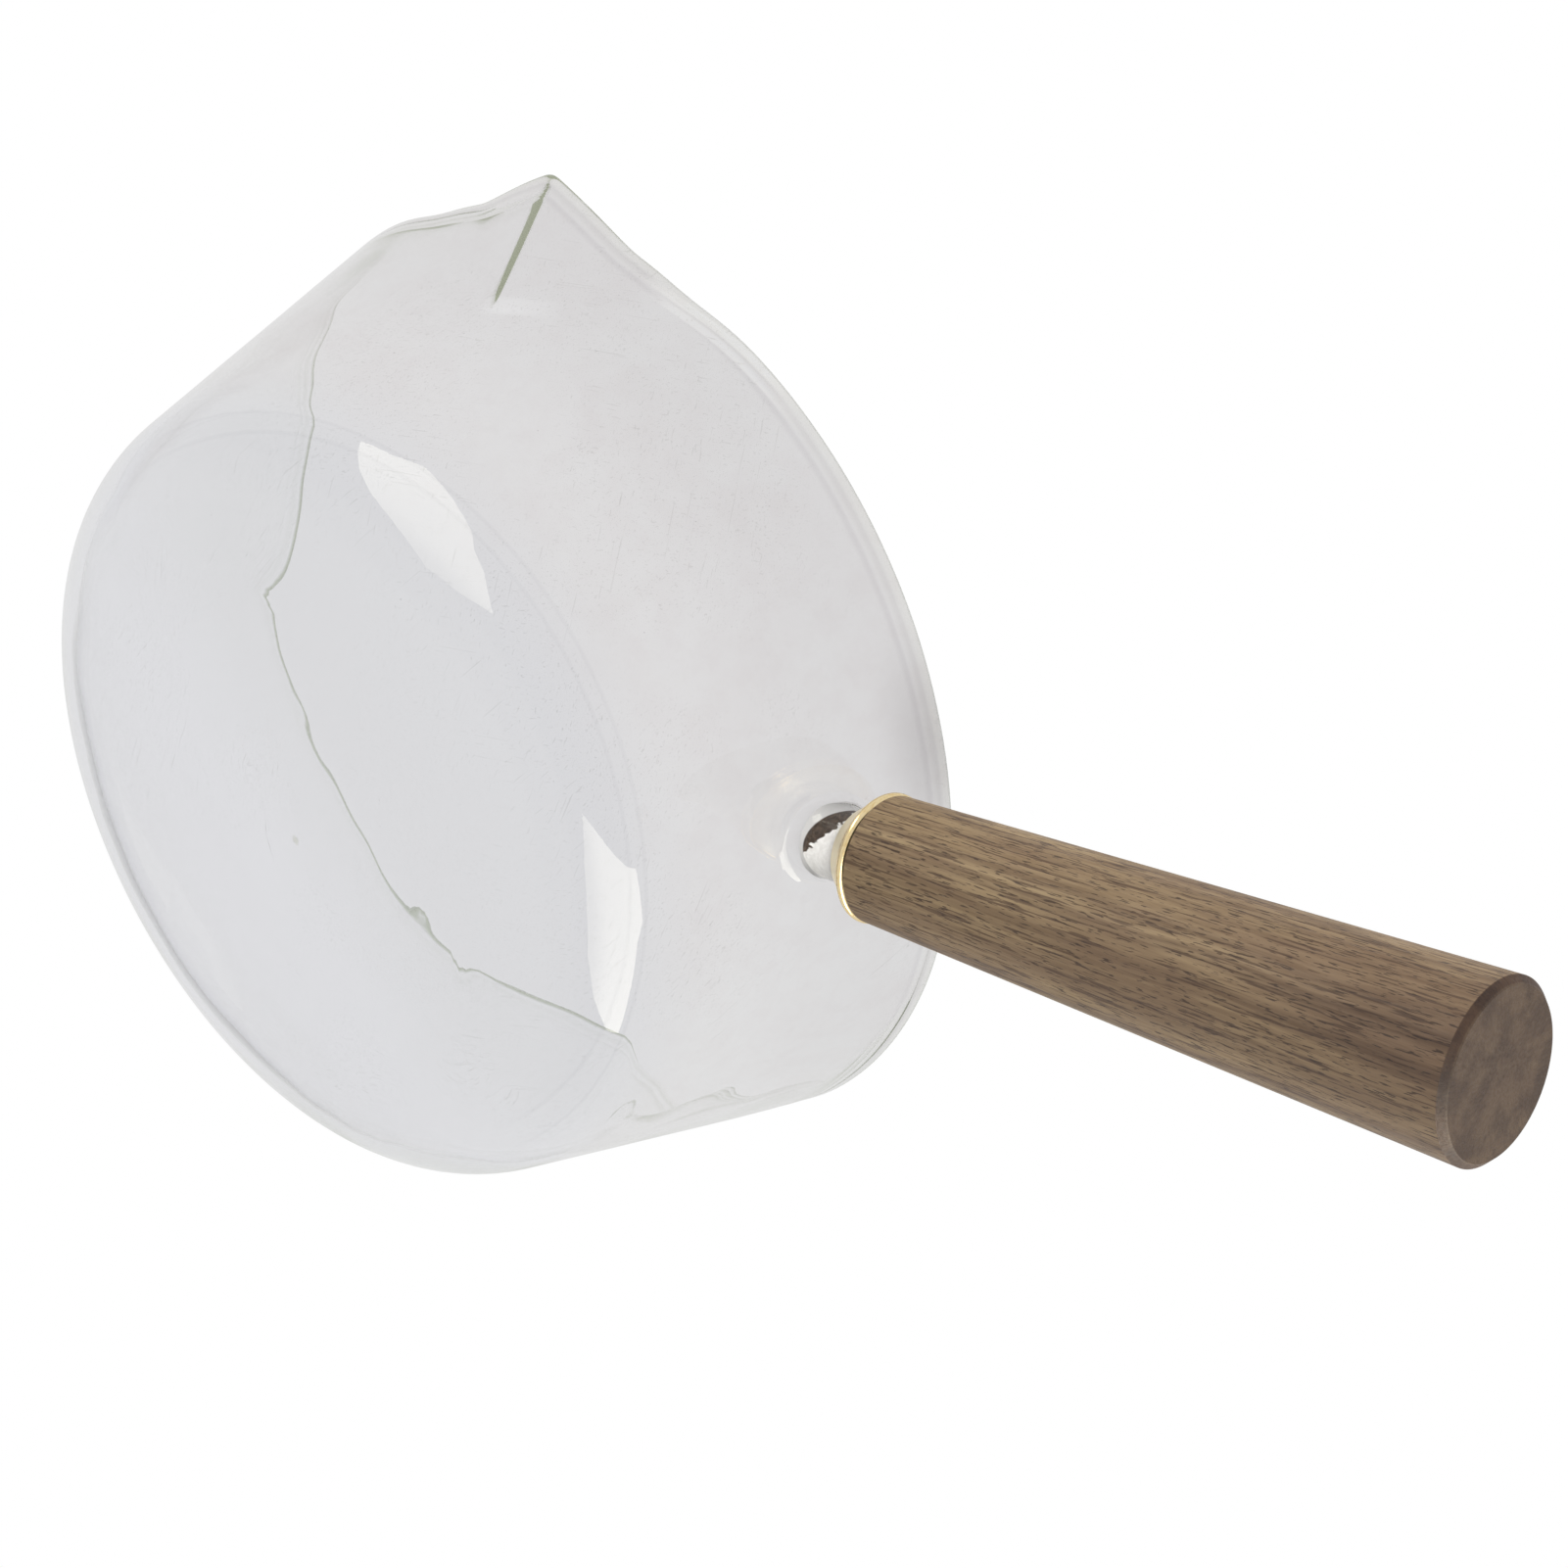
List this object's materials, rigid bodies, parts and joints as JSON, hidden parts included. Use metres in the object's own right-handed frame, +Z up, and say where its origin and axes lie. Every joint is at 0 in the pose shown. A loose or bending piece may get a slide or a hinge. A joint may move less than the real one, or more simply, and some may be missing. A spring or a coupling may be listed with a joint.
{
  "type": "milk pan",
  "caption": "Clear glass milk pan with flared wall, rounded base, a pouring spout on each side and a tapered wooden handle behind a brass ferrule.",
  "frame": {"origin": "centre of the flat underside of the base", "axes": "+X along the handle away from the bowl, +Y towards one spout, +Z up out of the bowl"},
  "size_m": [0.2723, 0.173, 0.07],
  "materials": {
    "clear_glass": "clear heat-resistant glass, fire-polished rim",
    "polished_brass": "polished",
    "walnut": "sanded, lightly oiled",
    "dowel_wood": "raw, dark",
    "white_cement": "cured adhesive, matte"
  },
  "bodies": {
    "root": {"glass_pan": "clear_glass", "ferrule": "polished_brass", "handle_grip": "walnut", "neck_dowel": "dowel_wood", "neck_cement": "white_cement", "socket_cement": "white_cement"}
  },
  "joints": []
}
